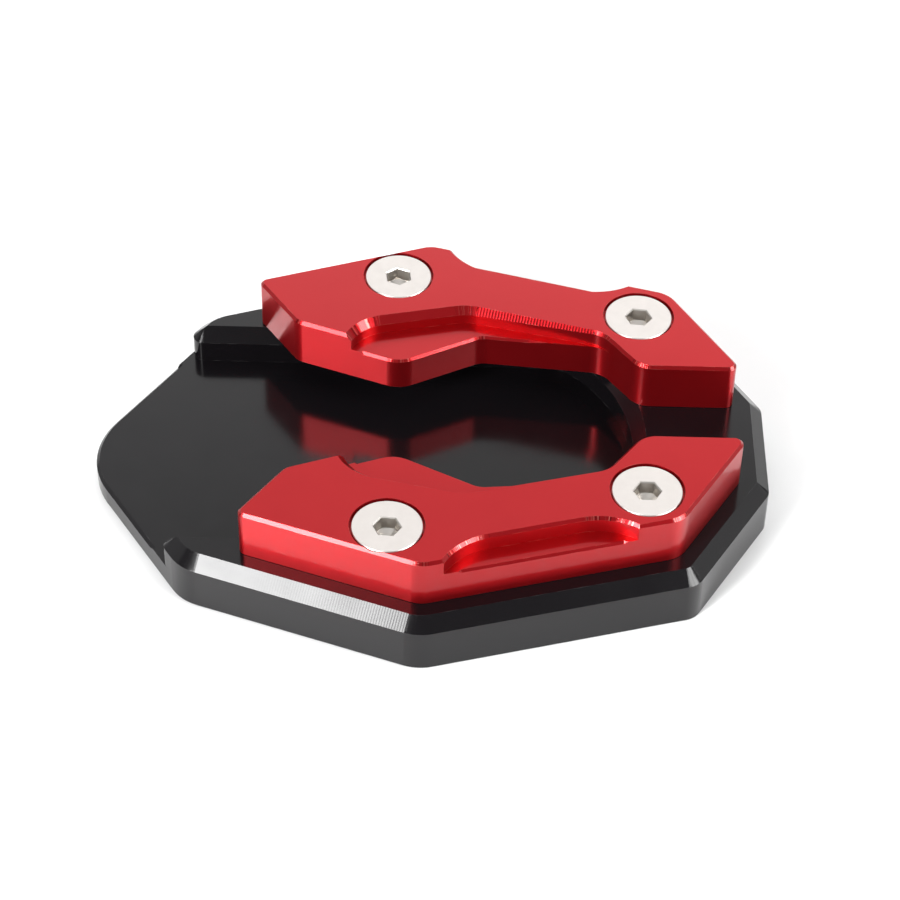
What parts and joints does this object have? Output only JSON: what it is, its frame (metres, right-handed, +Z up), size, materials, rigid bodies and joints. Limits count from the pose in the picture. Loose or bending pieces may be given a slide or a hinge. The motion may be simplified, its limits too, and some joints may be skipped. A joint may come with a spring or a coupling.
{
  "type": "kickstand foot enlarger",
  "caption": "Flat foot plate for a motorbike side stand: a pocketed base plate and screwed-on clamp plates that hold the stand's foot and spread its load on soft ground.",
  "frame": {"origin": "under the middle of the plate, on the ground", "axes": "+X from the rounded toe to the straight heel, +Y across the plate, +Z up"},
  "size_m": [0.1182, 0.0916, 0.02],
  "materials": {
    "black_anodised": "black anodised, satin gloss",
    "red_anodised": "red anodised, satin gloss",
    "stainless": "turned, satin"
  },
  "bodies": {
    "root": {"base_plate": "black_anodised", "rear_clamp_plate": "red_anodised", "front_clamp_plate": "red_anodised", "clamp_screws": "stainless"}
  },
  "joints": []
}
